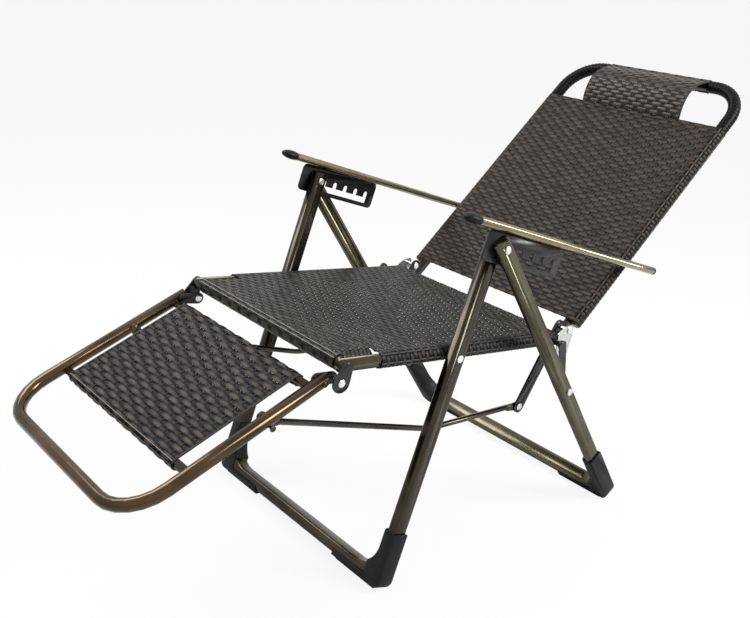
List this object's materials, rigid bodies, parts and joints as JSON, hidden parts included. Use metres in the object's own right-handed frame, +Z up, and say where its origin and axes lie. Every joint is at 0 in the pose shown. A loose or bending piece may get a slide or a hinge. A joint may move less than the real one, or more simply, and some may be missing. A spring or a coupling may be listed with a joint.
{
  "type": "folding reclining deck chair",
  "caption": "Folding reclining deck chair with woven rattan seat, back and headrest, a linked footrest, slotted armrests and crossed tube legs in moulded shoes.",
  "frame": {"origin": "centre of the bounding box at floor level, in the reclined pose of the picture", "axes": "+X to the sitter's left, +Y towards the top of the back, +Z up"},
  "size_m": [0.6426, 1.6047, 0.9179],
  "materials": {
    "black_paint": "satin black paint",
    "bronze_paint": "satin dark bronze paint",
    "rattan": "woven flat strands, dull brown grey",
    "slate_plastic": "moulded, lightly grained",
    "steel": "bright, lightly brushed",
    "zinc": "zinc plated"
  },
  "bodies": {
    "front_legs": {"front_leg_frame": "bronze_paint", "front_leg_pin_left": "steel", "front_leg_pin_right": "steel", "front_shoe_left": "slate_plastic", "front_shoe_right": "slate_plastic", "pivot_washer_left": "steel", "pivot_washer_right": "steel", "seat_pivot_bolt_left": "steel", "seat_pivot_bolt_right": "steel"},
    "rear_legs": {"link_leg_rivet_left": "steel", "link_leg_rivet_right": "steel", "rear_leg_frame": "bronze_paint", "rear_leg_pin_left": "steel", "rear_leg_pin_right": "steel", "rear_shoe_left": "slate_plastic", "rear_shoe_right": "slate_plastic"},
    "fold_links": {"fold_link_left": "black_paint", "fold_link_right": "black_paint"},
    "seat": {"back_hinge_bolt_left": "steel", "back_hinge_bolt_right": "steel", "footrest_hinge_rivet_left": "steel", "footrest_hinge_rivet_right": "steel", "link_seat_bolt_left": "black_paint", "link_seat_bolt_right": "black_paint", "seat_front_bar": "bronze_paint", "seat_front_lug_left": "black_paint", "seat_front_lug_right": "black_paint", "seat_rail_left": "bronze_paint", "seat_rail_right": "bronze_paint", "seat_rear_bar": "bronze_paint", "seat_rear_lug_left": "zinc", "seat_rear_lug_right": "zinc", "seat_weave": "rattan"},
    "back": {"arm_spacer_left": "black_paint", "arm_spacer_right": "black_paint", "back_frame": "bronze_paint", "back_lever_left": "black_paint", "back_lever_right": "black_paint", "back_lower_crossbar": "bronze_paint", "back_top_crossbar": "bronze_paint", "back_weave": "rattan", "headrest_weave": "rattan", "lever_bolt_left": "steel", "lever_bolt_right": "steel"},
    "footrest": {"footrest_frame": "bronze_paint", "footrest_front_bar": "bronze_paint", "footrest_lug_left": "black_paint", "footrest_lug_right": "black_paint", "footrest_rear_bar": "bronze_paint", "footrest_weave": "rattan"},
    "drive_rods": {"drive_rod_left": "black_paint", "drive_rod_right": "black_paint"},
    "armrests": {"arm_end_cap_left": "slate_plastic", "arm_end_cap_right": "slate_plastic", "arm_knob_left": "slate_plastic", "arm_knob_right": "slate_plastic", "armrest_left": "bronze_paint", "armrest_right": "bronze_paint", "notch_plate_left": "black_paint", "notch_plate_right": "black_paint"}
  },
  "joints": [
    {"name": "fold", "type": "hinge", "parent": "front_legs", "child": "rear_legs", "pos_m": [0, -0.04477, 0.672], "axis": [-1, 0, 0], "range_deg": [0, 44]},
    {"name": "seat_fold", "type": "hinge", "parent": "front_legs", "child": "seat", "pos_m": [0, -0.11737, 0.46115], "axis": [-1, 0, 0], "range_deg": [0, 75.83]},
    {"name": "link_fold", "type": "hinge", "parent": "rear_legs", "child": "fold_links", "pos_m": [0, 0.19115, 0.32328], "axis": [-1, 0, 0], "range_deg": [0, 114.2]},
    {"name": "recline", "type": "hinge", "parent": "seat", "child": "back", "pos_m": [0, 0.23113, 0.43649], "axis": [1, 0, 0], "range_deg": [0, 48]},
    {"name": "footrest_drop", "type": "hinge", "parent": "seat", "child": "footrest", "pos_m": [0, -0.37885, 0.46504], "axis": [1, 0, 0], "range_deg": [0, 71.4]},
    {"name": "rod_swing", "type": "hinge", "parent": "back", "child": "drive_rods", "pos_m": [0, 0.13, 0.27211], "axis": [-1, 0, 0], "range_deg": [0, 41.2]},
    {"name": "arm_swing", "type": "hinge", "parent": "back", "child": "armrests", "pos_m": [0, 0.39878, 0.5603], "axis": [-1, 0, 0], "range_deg": [0, 41.9]}
  ],
  "couplings": [
    {"joint": "seat_fold", "follows": "fold", "ratio": 1.7234},
    {"joint": "link_fold", "follows": "fold", "ratio": 2.5955},
    {"joint": "footrest_drop", "follows": "recline", "ratio": 1.4875},
    {"joint": "rod_swing", "follows": "recline", "ratio": 0.85833},
    {"joint": "arm_swing", "follows": "recline", "ratio": 0.87292}
  ]
}
